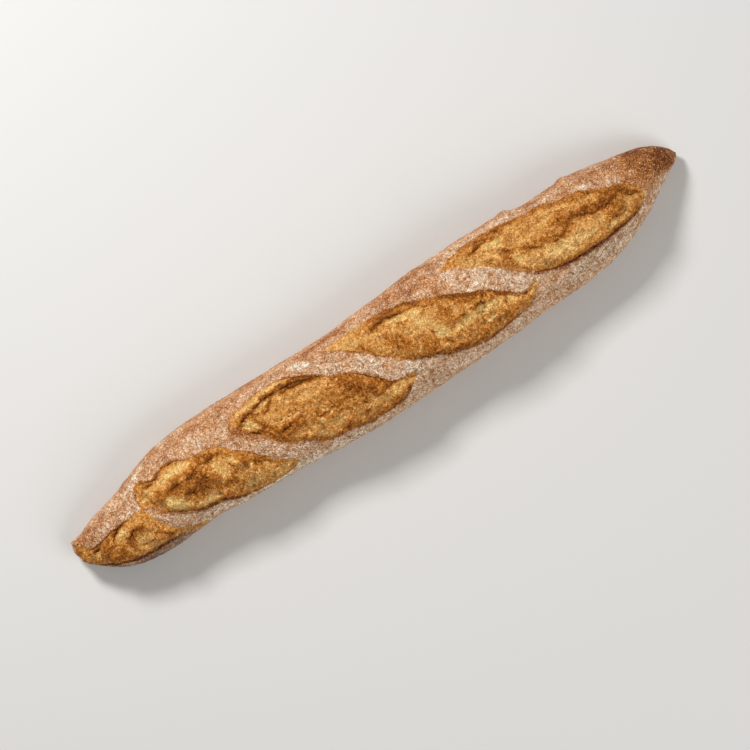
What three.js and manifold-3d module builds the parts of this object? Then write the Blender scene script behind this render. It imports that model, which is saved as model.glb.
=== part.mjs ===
// A scored baguette: one long loaf with a flat base, five slanting slashes along its top, a bulging
// torn bloom in each slash and raised lips of crust beside it. Millimetres, X along the loaf, Z up.
import * as THREE from "three";
import { mergeVertices } from "three/addons/utils/BufferGeometryUtils.js";
import Module from "manifold-3d";

const wasm = await Module();
wasm.setup();

// Driving dimensions of the loaf.
const LENGTH = 520;
const HALF_WIDTH = 40.5;
const CROWN_HEIGHT = 51;
const CROWN_POWER = 0.72; // how fast the height falls as the loaf narrows
const BASE_SINK = 1.8; // how much of the round underside the flat base takes off
const TIP_LIFT = 8; // how far the ends lift off the surface
const TIP_LIFT_POWER = 1.8;
const WIDEST_LEVEL = 0.4; // share of the height at which the loaf is widest
const TOP_ROUNDNESS = 2.15; // superellipse powers of the section above and below that level
const BASE_ROUNDNESS = 2.6;
const EDGE_LIMIT = 0.97; // nothing of a slash lies further out than this share of the half width
const NOSE = { left: 5, right: 8 }; // length of each end's rounding

// The two long edges seen from above, as [along, across].
const FAR_EDGE = [
  [-260, 12], [-250, 13.4], [-234, 19.1], [-208, 25.4], [-182, 34.2], [-156, 38.2], [-130, 38.6],
  [-78, 37.4], [-33, 35.6], [13, 36.9], [52, 39.4], [91, 39.2], [126, 38.2], [143, 35], [180, 34],
  [208, 29.7], [234, 24.3], [248, 18.6], [260, 9],
];
const NEAR_EDGE = [
  [-260, -1], [-247, -14.8], [-234, -23.6], [-221, -28.4], [-195, -31.4], [-156, -30.4], [-130, -33],
  [-91, -35.2], [-39, -40.2], [-13, -41], [52, -40.6], [91, -39.8], [130, -38.4], [169, -36.4],
  [195, -30.8], [221, -19.5], [247, -5.2], [260, 0],
];

// How finely the body is divided.
const AROUND = 26;
const ALONG = 80;
const MIDDLE_STRETCH = 0.38; // spaces the rings wider in the middle than at the ends

// Each slash: its far and near edge seen from above, which share their number of points, the humps of
// its bloom as [along share, across share, radius, height], and its lips as [edge, from, to, height].
const SLASHES = [
  {
    far: [[-256, 4], [-240, 1.5], [-222, 3], [-204, 4], [-197, -8], [-184, -21], [-165, -29.5]],
    near: [[-257, -1], [-247, -13.5], [-233, -20], [-217, -25], [-203, -27], [-186, -28.5], [-166, -31]],
    humps: [[0.32, 0.5, 11, 1.6], [0.55, 0.35, 9, 1.2]],
    lips: [["far", 0.16, 0.5, 1.4], ["near", 0.14, 0.6, 0.8]],
  },
  {
    far: [[-200, 15], [-190, 18.5], [-172, 21.5], [-152, 14.5], [-131, 9.5], [-113, -5], [-88, -27.5]],
    near: [[-201, 8], [-194, -1], [-179, -13.5], [-160, -21.5], [-140, -27.5], [-118, -31], [-89, -31]],
    humps: [[0.3, 0.55, 14, 2.4], [0.62, 0.6, 10, 1.2]],
    lips: [["far", 0.03, 0.42, 2.2], ["near", 0.12, 0.62, 1.2]],
  },
  {
    far: [[-118, 17], [-100, 24.5], [-76, 27], [-50, 18], [-20, 1], [-3, -18], [17, -21.5]],
    near: [[-113, 13], [-104, 0.5], [-84, -15.5], [-60, -28.5], [-33, -34.5], [-8, -35.5], [16, -23.5]],
    humps: [[0.3, 0.55, 14, 2], [0.62, 0.7, 16, 1.8]],
    lips: [["far", 0.08, 0.5, 2.4], ["near", 0.5, 0.85, 1]],
  },
  {
    far: [[-28, 25.5], [-5, 27], [25, 24.5], [54, 16], [83, 1.5], [106, -16.5], [123, -17]],
    near: [[-27, 23.5], [-9, 9.5], [10, -5.5], [34, -21.5], [62, -31], [92, -31], [121, -20]],
    humps: [[0.34, 0.35, 15, 1.8], [0.6, 0.72, 17, 2.2]],
    lips: [["far", 0.2, 0.55, 2.2], ["near", 0.5, 0.85, 1]],
  },
  {
    far: [[70, 27.5], [92, 32], [125, 30], [160, 25.5], [190, 16.5], [212, 7.5], [225, -5.5]],
    near: [[72, 26], [95, 14], [115, 0], [133, -14], [163, -20.5], [196, -19.5], [222, -9.5]],
    humps: [[0.45, 0.72, 19, 2.4], [0.75, 0.3, 10, 1.8]],
    lips: [["far", 0.5, 0.9, 1.6], ["near", 0.34, 0.86, 2.2]],
  },
];
const BLOOM_RISE = 2.6; // how far a bloom bulges above the skin
const FAR_DROP = 3; // how far it lies below the skin at its far and near edge
const NEAR_DROP = 1.6;
const FAR_SLOPE = 9; // how wide the slope from each edge up to the bulge is
const NEAR_SLOPE = 7;
const END_SLOPE = 14;
const GROW = 2.4; // how far a bloom reaches under the crust beside its slash
const ROOT = 0.5; // a bloom's root reaches this share of the way to the middle of the loaf
const CUT_CLEARANCE = 0.8; // the cut ends this far below the bloom's surface
const CUT_ABOVE = 30;
const BLOOM_STEPS = 24;
const BLOOM_COLUMNS = 8;

// The torn crags of a bloom, from two waves that cross.
const CRAG_HEIGHT = 0.9;
const CRAG_LENGTH = 27; // of the first wave, along the slash
const CRAG_STRETCH = 2.6; // how much longer the second wave is
const CRAG_LEAN = [3, -7]; // how far each wave turns from one edge to the other

// A lip: a low crest of crust along a slash's edge that leans over the bloom.
const LIP_WIDTH = 7;
const LIP_FOOT = 1.5; // where its underside meets the slash's wall
const LIP_CREST = 0.8; // where it is highest
const LIP_OVERHANG = 1.1;
const LIP_EDGE = 1; // thickness of its edge
const LIP_ROUND = 0.5; // how far that edge lies below the crest
const LIP_SINK = 2.2;
const LIP_FULLNESS = 0.6; // how quickly its ends rise to full height
const LIP_STEPS = 12;

const clamp = (x, low, high) => Math.min(Math.max(x, low), high);
const smooth = (x) => clamp(x, 0, 1) ** 2 * (3 - 2 * clamp(x, 0, 1));

// The height at x of a smooth curve through points with rising x.
function heightOf(points, x) {
  const last = points.length - 1;
  const i = clamp(points.findLastIndex((p) => p[0] <= x), 0, last - 1);
  const slope = (a, b) => (points[b][1] - points[a][1]) / (points[b][0] - points[a][0]);
  const step = points[i + 1][0] - points[i][0];
  const start = slope(Math.max(i - 1, 0), i + 1) * step;
  const end = slope(i, Math.min(i + 2, last)) * step;
  const t = clamp((x - points[i][0]) / step, 0, 1);
  const rise = points[i + 1][1] - points[i][1];
  return points[i][1] + t * (start + t * (3 * rise - 2 * start - end + t * (start + end - 2 * rise)));
}

// The loaf's section at x: its middle, half width, and lowest, widest and highest level.
function sectionAt(x) {
  const far = heightOf(FAR_EDGE, x);
  const near = heightOf(NEAR_EDGE, x);
  const toTip = LENGTH / 2 - Math.abs(x);
  const nose = x < 0 ? NOSE.left : NOSE.right;
  const round = Math.sqrt(1 - (1 - clamp(toTip / nose, 0, 1)) ** 2);
  const fullness = (far - near) / 2 / HALF_WIDTH;
  const top = CROWN_HEIGHT * fullness ** CROWN_POWER;
  const bottom = TIP_LIFT * Math.max(1 - fullness, 0) ** TIP_LIFT_POWER - BASE_SINK;
  const widest = bottom + WIDEST_LEVEL * (top - bottom);
  return {
    middle: (far + near) / 2,
    half: ((far - near) / 2) * round,
    widest,
    top: (top - widest) * round,
    bottom: (widest - bottom) * round,
  };
}

// A point of the skin: x along the loaf, and the angle round it from straight up.
function skinPoint(x, angle) {
  const s = sectionAt(x);
  const up = Math.cos(angle);
  const power = up > 0 ? TOP_ROUNDNESS : BASE_ROUNDNESS;
  const across = Math.sign(Math.sin(angle)) * Math.abs(Math.sin(angle)) ** (2 / power);
  const rise = Math.abs(up) ** (2 / power);
  const z = s.widest + (up > 0 ? s.top : -s.bottom) * rise;
  return [x, s.middle + s.half * across, Math.max(z, 0)];
}

// The point at a height above the skin, measured outwards from the section's middle, over a plan point.
function overSkin(x, y, height) {
  const s = sectionAt(x);
  const across = clamp((y - s.middle) / Math.max(s.half, 1e-6), -EDGE_LIMIT, EDGE_LIMIT);
  const rise = s.top * (1 - Math.abs(across) ** TOP_ROUNDNESS) ** (1 / TOP_ROUNDNESS);
  const skin = new THREE.Vector3(x, s.middle + s.half * across, s.widest + rise);
  const core = new THREE.Vector3(x, s.middle, s.widest);
  const out = skin.clone().sub(core).normalize();
  return { point: skin.addScaledVector(out, height), core };
}

// A closed geometry from a sphere whose poles are the loaf's ends.
function bodyGeometry() {
  const sphere = new THREE.SphereGeometry(1, AROUND, ALONG);
  sphere.deleteAttribute("normal");
  sphere.deleteAttribute("uv");
  const body = mergeVertices(sphere);
  const position = body.attributes.position;
  for (let i = 0; i < position.count; i++) {
    const [out, pole, side] = [position.getX(i), position.getY(i), position.getZ(i)];
    const share = 1 - (2 * Math.acos(clamp(pole, -1, 1))) / Math.PI;
    const x = (LENGTH / 2) * (share + MIDDLE_STRETCH * (share - share ** 3));
    position.setXYZ(i, ...skinPoint(x, Math.atan2(side, out)));
  }
  return body;
}

// A closed geometry through rings of equally many points, with both ends capped.
function loft(rings) {
  const count = rings[0].length;
  const indices = [];
  for (let i = 0; i + 1 < rings.length; i++) {
    for (let j = 0; j < count; j++) {
      const [a, b] = [i * count + j, i * count + ((j + 1) % count)];
      indices.push(a, b, b + count, a, b + count, a + count);
    }
  }
  const end = (rings.length - 1) * count;
  for (let j = 1; 2 * j < count; j++) {
    const [a, b, c, d] = [j - 1, j, count - j - 1, count - j];
    indices.push(a, d, b, end + a, end + b, end + d);
    if (b !== c) indices.push(b, d, c, end + b, end + c, end + d);
  }
  const geometry = new THREE.BufferGeometry();
  geometry.setAttribute("position", new THREE.Float32BufferAttribute(rings.flat(2), 3));
  geometry.setIndex(indices);
  return geometry;
}

function solidOf(geometry) {
  const vertProperties = new Float32Array(geometry.attributes.position.array);
  const triVerts = new Uint32Array(geometry.index.array);
  return new wasm.Manifold(new wasm.Mesh({ numProp: 3, vertProperties, triVerts }));
}

function geometryOf(solid) {
  const { vertProperties, triVerts } = solid.getMesh();
  const geometry = new THREE.BufferGeometry();
  geometry.setAttribute("position", new THREE.BufferAttribute(vertProperties, 3));
  geometry.setIndex(new THREE.BufferAttribute(triVerts, 1));
  return geometry;
}

const curveThrough = (points) => new THREE.SplineCurve(points.map((p) => new THREE.Vector2(...p)));

// The relief of a bloom at a share along and across its slash, above the skin.
function bloomRelief(slash, along, across, width, length) {
  const fromFar = (1 - across) * width;
  const fromNear = across * width;
  const fromEnd = Math.min(along, 1 - along) * length;
  const swell = smooth(fromFar / FAR_SLOPE) * smooth(fromNear / NEAR_SLOPE) * smooth(fromEnd / END_SLOPE);
  const drop = NEAR_DROP + (FAR_DROP - NEAR_DROP) * clamp(across, 0, 1);
  const humps = slash.humps.map(([a, c, radius, height]) => {
    const away = Math.hypot((along - a) * length, (across - c) * width) / radius;
    return height * Math.exp(-away * away);
  });
  const turn = (2 * Math.PI * along * length) / CRAG_LENGTH;
  const first = Math.sin(turn + CRAG_LEAN[0] * across);
  const second = Math.cos(turn / CRAG_STRETCH + CRAG_LEAN[1] * across);
  const crags = CRAG_HEIGHT * first * second;
  return -drop + (drop + BLOOM_RISE + crags) * swell + humps.reduce((a, b) => a + b) * swell;
}

// A solid over a slash, grown past its edges seen from above. Its top lies above the bloom's surface
// by lift, and its underside either below that surface by a depth, or part of the way to the middle.
function slashSolid(slash, grow, lift, depth) {
  const [far, near] = [curveThrough(slash.far), curveThrough(slash.near)];
  const length = far.getPoint(0).distanceTo(far.getPoint(1));
  const rings = [];
  for (let i = 0; i <= BLOOM_STEPS; i++) {
    const along = i / BLOOM_STEPS;
    const [f, n] = [far.getPoint(along), near.getPoint(along)];
    const width = f.distanceTo(n);
    const tangent = far.getTangent(along).add(near.getTangent(along)).normalize();
    const endPush = grow * (i === 0 ? -1 : i === BLOOM_STEPS ? 1 : 0);
    const upper = [];
    const lower = [];
    for (let j = 0; j <= BLOOM_COLUMNS; j++) {
      const across = j / BLOOM_COLUMNS + ((2 * j) / BLOOM_COLUMNS - 1) * (grow / width);
      const p = n.clone().lerp(f, across).addScaledVector(tangent, endPush);
      const relief = bloomRelief(slash, along, across, width, length);
      const { point, core } = overSkin(p.x, p.y, relief);
      upper.unshift(overSkin(p.x, p.y, relief + lift).point.toArray());
      lower.push((depth ? overSkin(p.x, p.y, relief - depth).point : point.lerp(core, ROOT)).toArray());
    }
    rings.push([...lower, ...upper]);
  }
  return solidOf(loft(rings));
}

// A lip of crust along part of a slash's edge: a low crest outside the slash that leans over it.
function lipSolid(slash, [side, from, to, height]) {
  const edge = curveThrough(slash[side]);
  const other = curveThrough(slash[side === "far" ? "near" : "far"]);
  const rings = [];
  for (let i = 0; i <= LIP_STEPS; i++) {
    const share = i / LIP_STEPS;
    const along = from + (to - from) * share;
    const p = edge.getPoint(along);
    const tangent = edge.getTangent(along);
    const out = new THREE.Vector2(-tangent.y, tangent.x);
    if (out.dot(other.getPoint(along).sub(p)) > 0) out.negate();
    const size = Math.sin(Math.PI * share) ** LIP_FULLNESS;
    const top = height * size;
    const lean = LIP_OVERHANG * size;
    const outline = [
      [LIP_WIDTH, -LIP_SINK],
      [LIP_FOOT, -LIP_SINK - LIP_EDGE],
      [-lean, top - LIP_ROUND - LIP_EDGE],
      [-lean, top - LIP_ROUND],
      [LIP_CREST, top],
      [LIP_WIDTH / 2, top / 2 - LIP_ROUND],
    ];
    const ring = outline.map(([away, up]) => {
      const q = p.clone().addScaledVector(out, away);
      return overSkin(q.x, q.y, up).point.toArray();
    });
    rings.push(side === "far" ? ring.reverse() : ring);
  }
  return solidOf(loft(rings));
}

// The loaf: the body, cut open at each slash, with its blooms and lips joined on.
function loaf() {
  let solid = solidOf(bodyGeometry());
  for (const slash of SLASHES) {
    solid = solid.subtract(slashSolid(slash, 0, CUT_ABOVE, CUT_CLEARANCE));
  }
  for (const slash of SLASHES) {
    solid = solid.add(slashSolid(slash, GROW, 0, 0));
    for (const lip of slash.lips) solid = solid.add(lipSolid(slash, lip));
  }
  const bodies = solid.decompose().sort((a, b) => b.volume() - a.volume());
  return bodies[0]; // the joins leave scraps without thickness, which are dropped
}

const crust = new THREE.MeshStandardMaterial({ color: 0xb5793f, roughness: 0.85, metalness: 0 });
crust.name = "crust";

const baguette = new THREE.Mesh(geometryOf(loaf()), crust);
baguette.name = "baguette";

// The origin is the middle of the base.
baguette.geometry.computeBoundingBox();
const { min, max } = baguette.geometry.boundingBox;
baguette.position.set(-(min.x + max.x) / 2, -(min.y + max.y) / 2, -min.z);

const part = new THREE.Group();
part.add(baguette);

export default part;
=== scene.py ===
from math import pi, radians

import bpy
import numpy as np
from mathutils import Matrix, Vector, geometry, kdtree


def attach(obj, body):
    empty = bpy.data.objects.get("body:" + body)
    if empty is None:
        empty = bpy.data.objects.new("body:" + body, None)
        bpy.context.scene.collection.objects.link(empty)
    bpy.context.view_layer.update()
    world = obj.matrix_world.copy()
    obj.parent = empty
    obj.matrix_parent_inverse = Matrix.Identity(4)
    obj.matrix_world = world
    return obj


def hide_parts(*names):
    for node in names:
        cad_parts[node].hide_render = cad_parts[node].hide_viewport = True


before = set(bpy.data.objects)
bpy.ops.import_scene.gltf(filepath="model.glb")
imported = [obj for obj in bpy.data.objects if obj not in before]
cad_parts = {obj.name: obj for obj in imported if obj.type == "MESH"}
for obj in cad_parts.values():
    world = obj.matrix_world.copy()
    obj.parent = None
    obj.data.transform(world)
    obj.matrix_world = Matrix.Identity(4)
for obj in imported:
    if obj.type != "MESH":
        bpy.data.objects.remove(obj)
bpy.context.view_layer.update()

MM = 0.001
SEED = 11

# The loaf, as in the solid.
LENGTH = 520
HALF_WIDTH = 40.5
CROWN_HEIGHT = 51
CROWN_POWER = 0.72
BASE_SINK = 1.8
TIP_LIFT = 8
TIP_LIFT_POWER = 1.8
WIDEST_LEVEL = 0.4
TOP_ROUNDNESS = 2.15
BASE_ROUNDNESS = 2.6
NOSE_LEFT = 5
NOSE_RIGHT = 8
ACROSS_SHIFT = 0.73  # centres the outline on the loaf's origin

# The two long edges seen from above, as (along, across).
FAR_EDGE = [
    (-260, 12), (-250, 13.4), (-234, 19.1), (-208, 25.4), (-182, 34.2), (-156, 38.2), (-130, 38.6),
    (-78, 37.4), (-33, 35.6), (13, 36.9), (52, 39.4), (91, 39.2), (126, 38.2), (143, 35), (180, 34),
    (208, 29.7), (234, 24.3), (248, 18.6), (260, 9),
]
NEAR_EDGE = [
    (-260, -1), (-247, -14.8), (-234, -23.6), (-221, -28.4), (-195, -31.4), (-156, -30.4), (-130, -33),
    (-91, -35.2), (-39, -40.2), (-13, -41), (52, -40.6), (91, -39.8), (130, -38.4), (169, -36.4),
    (195, -30.8), (221, -19.5), (247, -5.2), (260, 0),
]

# Each slash: its edges seen from above, what happens at each edge as (x, lip, step, line, rim), its cracks
# as (depth, points), its patches as (x, y, half length, half width, turn in degrees, lift, toast), and the
# direction of its fibres in degrees. A lip is the height of the crust beside the edge, a step is how far
# the crumb starts below it, a line is the brown seam between them, burnt above 1 and with a painted
# shadow just inside it where it is strong, and a rim is how brown the crumb is beside it. Toast runs from
# -1, pale crumb, to 1, dark brown.

# The first slash, at the left end.
FIRST_SLASH = {
    "far": [
        (-257, 9), (-254, 8.6), (-251, 5.6), (-248.5, 2), (-246, 0.6), (-242, 0.5), (-237, 1.5), (-232, 3),
        (-226, 4), (-218, 4), (-210, 4), (-204, 4.4), (-201, 5.6), (-199.4, 5), (-198.6, 1), (-197.4, -3.4),
        (-195, -8.4), (-191.5, -14.6), (-187, -19.4), (-181, -23.3), (-174, -26.4), (-166, -29),
    ],
    "near": [
        (-258, 7), (-258.6, 2), (-257, -3.4), (-254, -8), (-250, -12), (-245, -15), (-240, -18),
        (-234, -20.5), (-228, -22.5), (-221, -24.6), (-213, -25.8), (-204, -26.2), (-195, -26.6),
        (-185, -27.6), (-175, -29), (-167, -30.5),
    ],
    "far_edge": [
        (-257, 0.1, 0.1, 0, 0.1), (-249, 0.4, 0.4, 0.3, 0.2), (-244, 1, 0.9, 0.5, 0.2),
        (-238, 0.7, 0.5, 0.3, 0.2), (-230, 0.9, 0.6, 0.4, 0.3), (-222, 1.1, 0.8, 0.6, 0.3),
        (-214, 0.6, 0.4, 0.3, 0.2), (-206, 0.2, 0.2, 0.1, 0), (-195, 0.3, 0.4, 0.3, 0.1),
        (-166, 0.1, 0.2, 0.1, 0),
    ],
    "near_edge": [
        (-258, 0.1, 0.1, 0.1, 0.3), (-250, 0.3, 0.4, 0.8, 0.6), (-243, 0.8, 1, 1.4, 0.7),
        (-225, 1, 1.2, 1.6, 0.6), (-205, 0.8, 1, 1.4, 0.4), (-190, 0.5, 0.7, 0.8, 0.2),
        (-175, 0.2, 0.4, 0.3, 0), (-165, 0.1, 0.2, 0.1, 0),
    ],
    "cracks": [
        (1.8, [(-248, -1.6), (-244.5, -2.6), (-241, -1)]),
        (1.9, [(-229.5, -2.5), (-227, 0), (-224.5, 2.2), (-220.5, 3), (-216, 2.4)]),
        (1.2, [(-234.5, 1.8), (-231.5, 2.4)]),
        (1.5, [(-221, -9), (-216, -6), (-210, -5.4), (-206, -8)]),
        (0.8, [(-214, -16), (-210, -18.5), (-204, -17)]),
        (0.8, [(-202, -14), (-194, -20), (-185, -24.5)]),
    ],
    "patches": [
        (-222, -3, 6, 3, 10, -0.6, -0.8), (-244, -5.5, 3, 2.4, -30, -1, -0.8),
        (-211, -13, 6, 5, -20, -0.8, -0.6), (-236, -9, 8, 5, -40, 1.2, 0.3), (-206, -2, 7, 4, 0, 1, 0.1),
        (-232, -6, 5, 3, 40, 0.6, 0.2), (-228, -18, 12, 3, -25, 0.5, 0.35), (-194, -22, 3, 2, 0, -0.8, 0.4),
        (-207, -21, 5, 2, 0, -0.6, -0.2), (-219, -12, 3, 5, 0, 0.7, 0.35), (-212, -7, 7, 2, 10, 0.6, 0.5),
        (-222, -11, 28, 9, -15, 0, 0.22), (-255, 1, 6, 9, 0, 0.2, 0.05),
    ],
    "fibre": 70,
}

# The second slash.
SECOND_SLASH = {
    "far": [
        (-200.5, 14), (-199, 17), (-196, 20.5), (-191, 21.6), (-187, 19.4), (-183.5, 17.6), (-180, 18),
        (-177, 20), (-172, 21.4), (-165, 21), (-159, 19), (-153, 16.2), (-147, 15), (-139, 14.4),
        (-132, 12.4), (-127, 8), (-122, 2.5), (-117, -2), (-112, -7), (-107, -12), (-102, -17),
        (-96, -22.5), (-88, -28.5),
    ],
    "near": [
        (-200.8, 12), (-200.6, 6.6), (-199, 4), (-196.4, 3.2), (-193.6, 1), (-191, -2), (-188.4, -5.6),
        (-185, -9), (-180, -12.6), (-175, -15.6), (-170, -18), (-164, -20.6), (-157, -21.6), (-150, -22.4),
        (-145, -24.6), (-139, -27.4), (-132, -29.2), (-124, -30.6), (-115, -31.5), (-105, -32),
        (-95, -31.8), (-89, -30.5),
    ],
    "far_edge": [
        (-201, 0.3, 0.5, 1.3, 0.1), (-198.6, 0.2, 0.3, 1, 0.1), (-197, 0.3, 0.2, 0.2, 0.3),
        (-186, 0.8, 0.8, 0.8, 0.4), (-180, 0.9, 1.2, 1, 0.3), (-165, 1, 1.3, 0.9, 0.2),
        (-158, 0.8, 1, 0.8, 0.3), (-152, 0.3, 0.3, 0.2, 0.1), (-128, 0.2, 0.3, 0.1, 0.2),
        (-110, 0.3, 0.5, 0.3, 0.35), (-88, 0.1, 0.2, 0.1, 0),
    ],
    "near_edge": [
        (-201, 0.3, 0.4, 1.3, 0.1), (-199, 0.4, 0.5, 1, 0.1), (-197.5, 0.4, 0.5, 0.3, 0.1),
        (-193, 1, 1.2, 0.8, 0.1), (-180, 1.3, 1.4, 1.1, 0.2), (-165, 1.3, 1.4, 1.2, 0.3),
        (-150, 0.9, 1, 1.1, 0.4), (-140, 0.5, 0.9, 1.2, 1), (-128, 0.3, 0.7, 0.8, 0.6),
        (-110, 0.2, 0.5, 0.5, 0.4), (-95, 0.1, 0.4, 0.4, 0.2), (-88, 0, 0.2, 0.2, 0),
    ],
    "cracks": [
        (1.6, [(-193, 16.6), (-189, 15.6), (-185, 15.4)]),
        (1.8, [(-168, -3), (-162, -5), (-157, -4.4), (-152, 0), (-149, 3)]),
        (1.6, [(-178, 5), (-170, 5.4), (-163, 4), (-156, 5.4), (-151, 7.4)]),
        (1.5, [(-148, 8), (-142, 7), (-136, 9)]),
        (1.5, [(-131, -2), (-128, -8)]),
        (1.5, [(-141, -14), (-137, -12), (-132, -16)]),
        (1.4, [(-118, -9), (-111, -13), (-104, -18)]),
        (1, [(-128, -26.5), (-124, -28), (-119, -28.4)]),
    ],
    "patches": [
        (-157, -2, 13, 8, -15, 2.8, 0.65), (-158, -3, 24, 13, -20, 0, 0.15),
        (-140, 9, 12, 3.5, -15, 1, 0.65), (-184, 4, 5, 4, -30, 1, 0.2),
        (-177, -7, 9, 4.5, -50, -0.9, -1.35), (-186, 11, 10, 3.5, 0, -0.6, -0.45),
        (-165, 14, 11, 3.4, -8, -1, -0.95), (-157, -16, 9, 3, -10, -0.8, -0.8),
        (-128, -3, 5, 3, -40, -0.8, -0.7), (-138, -3, 6, 4, -60, 0.3, -0.5),
        (-124, -24, 3, 2.2, 0, -1.6, -0.8), (-108, -17, 4, 2.5, -30, -1, -0.4),
        (-140, -25, 9, 2.5, -12, 0.4, 0.75), (-115, -11, 12, 3, -45, 0.8, 0.4),
        (-103, -27, 9, 3, 0, -0.6, -0.3), (-190, 20, 6, 2, 0, 0.6, 0.3), (-170, -13, 8, 2, -35, 0.4, 0.1),
        (-176, 4, 8, 4, 0, 0.8, 0.25), (-120, -20, 10, 3, -20, 0.5, -0.3),
    ],
    "fibre": 60,
}

# The third slash, in the middle.
THIRD_SLASH = {
    "far": [
        (-118, 15.5), (-116.5, 19), (-113, 22), (-107, 24.4), (-98, 26.2), (-88, 27.2), (-79, 27.6),
        (-71, 27), (-65, 25.2), (-59, 23), (-53, 20), (-47, 16.6), (-41, 13), (-36, 8.8), (-30, 6.4),
        (-23, 3.4), (-18, -1), (-12, -7.4), (-6, -13.4), (-1, -18.6), (8, -21), (17, -22),
    ],
    "near": [
        (-113, 15), (-111, 12), (-108, 7.6), (-104, 3), (-99, -3), (-94, -8.6), (-88, -14), (-80, -18.6),
        (-73, -22), (-67, -26), (-60, -29), (-50, -31), (-41, -32.6), (-33, -35), (-24, -36), (-13, -35.6),
        (-2, -34.8), (5, -32), (11, -28.4), (16, -23.6),
    ],
    "far_edge": [
        (-118, 0.2, 0.1, 0, 0.2), (-110, 0.3, 0.1, 0.1, 0.1), (-92, 0.5, 0.1, 0.2, 0),
        (-72, 0.7, 0.2, 0.3, 0.15), (-55, 0.8, 0.4, 0.5, 0.6), (-42, 0.6, 0.8, 0.8, 0.3),
        (-37, 0.3, 0.4, 0.3, 0.1), (-28, 0.3, 0.4, 0.5, 0.4), (-18, 0.6, 0.7, 0.9, 0.4),
        (-5, 0.8, 0.8, 1, 0.4), (4, 0.4, 0.5, 0.5, 0.1), (17, 0.1, 0.2, 0.3, 0),
    ],
    "near_edge": [
        (-113, 0.8, 1.2, 1.1, 0.1), (-105, 0.9, 1.4, 1, 0.2), (-98, 0.4, 0.8, 0.4, 0.2),
        (-86, 0.2, 0.5, 0.1, 0.2), (-72, 0.2, 0.6, 0.3, 0.3), (-60, 0.2, 0.6, 0.7, 0.4),
        (-45, 0.2, 0.6, 0.5, 0.5), (-30, 0.2, 0.8, 0.8, 0.6), (-10, 0.2, 0.9, 0.95, 0.65),
        (3, 0.2, 0.6, 0.7, 0.5), (10, 0.1, 0.3, 0.3, 0.1), (17, 0, 0.2, 0.2, 0),
    ],
    "cracks": [
        (3, [
            (-111, 15.2), (-105, 16.3), (-101, 18.2), (-96.5, 17.8), (-94, 19.8), (-91, 21), (-86, 21),
            (-80, 21.6), (-75, 22), (-70, 20.8), (-64, 20.2), (-58, 19), (-52, 17), (-46, 14.6), (-41, 12),
            (-38.5, 10),
        ]),
        (2, [(-74, 18.8), (-68, 17.6), (-61, 16.8), (-54, 15.8)]),
        (1.8, [(-94, 13.8), (-89, 13.2), (-85, 14.4), (-82, 17), (-79, 19.4)]),
        (1.6, [(-98, 16), (-96.5, 10), (-94.5, 5), (-93, 1)]),
        (0.9, [(-104, 8), (-100, 5.5), (-97, 3)]),
        (1.7, [(-100.5, -0.5), (-103, 2.6), (-106, 6.4), (-109, 10.4), (-111, 14)]),
        (1.2, [(-90, -3.6), (-82, -4.4), (-74, -4), (-66, -3.4)]),
        (0.9, [(-59, -10.5), (-52, -10.8), (-47, -10)]),
        (0.9, [(-30, -19), (-20, -20.2), (-10, -19.8), (0, -20.4), (9, -21.4), (16, -21.5)]),
        (1.4, [(-9, -32.2), (-5.5, -31.4)]),
        (1.2, [(-28.6, -22.8), (-27.4, -25.5)]),
        (1.3, [(4.5, -28.8), (7.5, -28.2)]),
    ],
    "patches": [
        (-104, 11, 6, 4, -45, 0.4, -0.9), (-95, 16.5, 2.4, 1.6, 0, -1.2, -1),
        (-86, 18.8, 4, 1.4, 0, -1.2, -1), (-70, 20, 4, 1.6, -10, -0.6, -0.6), (-87, 7, 6, 4, 0, 0.3, -0.25),
        (-60, 10, 16, 5, -10, 0.8, -0.15), (-79, -6.5, 15, 3.6, -8, 1, 0.4), (-42, 1, 14, 6, -12, 0.6, 0.1),
        (-24, -8, 16, 5, -42, 1, 0.7), (-24, -31, 24, 3, -4, 0.4, 0.4),
        (-33, -24.4, 2.4, 1.8, 0, -1.8, -0.9), (-22, -27.4, 2, 1.5, 0, -1.6, -0.5),
        (-62, -21, 5, 4, 0, -1.2, -0.3), (-57, -26, 4, 2, 0, -1, -0.4), (-6, -24, 13, 3, -4, -0.8, -0.45),
        (-38, -10, 10, 5, 0, 0.5, 0.45), (-62, 19, 9, 1.6, -15, -0.6, 1), (-48, -16, 12, 4, -10, 0.6, 0.15),
        (-46, -21, 6, 3, 0, -0.6, -0.4), (-97, 22.8, 15, 2.4, 8, 0.2, -0.5),
        (-74, 25.2, 14, 2, -6, 0.2, -0.6), (-58, 21.4, 9, 1.8, -30, 0.2, 0.6),
        (-58, -13.5, 3, 1.6, -40, 0.4, -0.8), (-28, 3, 8, 2.6, -15, 0.4, 0.4),
        (-92, 1, 7, 2.4, -20, 0.4, 0.35), (-72, 4, 16, 3, -6, 0.3, 0.1), (-88, -8, 6, 4, -40, 0.4, 0.25),
        (-42, -27, 8, 2, -10, 0.4, 0.5), (-5, -30, 8, 2, 0, 0.3, 0.3),
    ],
    "fibre": 10,
}

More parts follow.
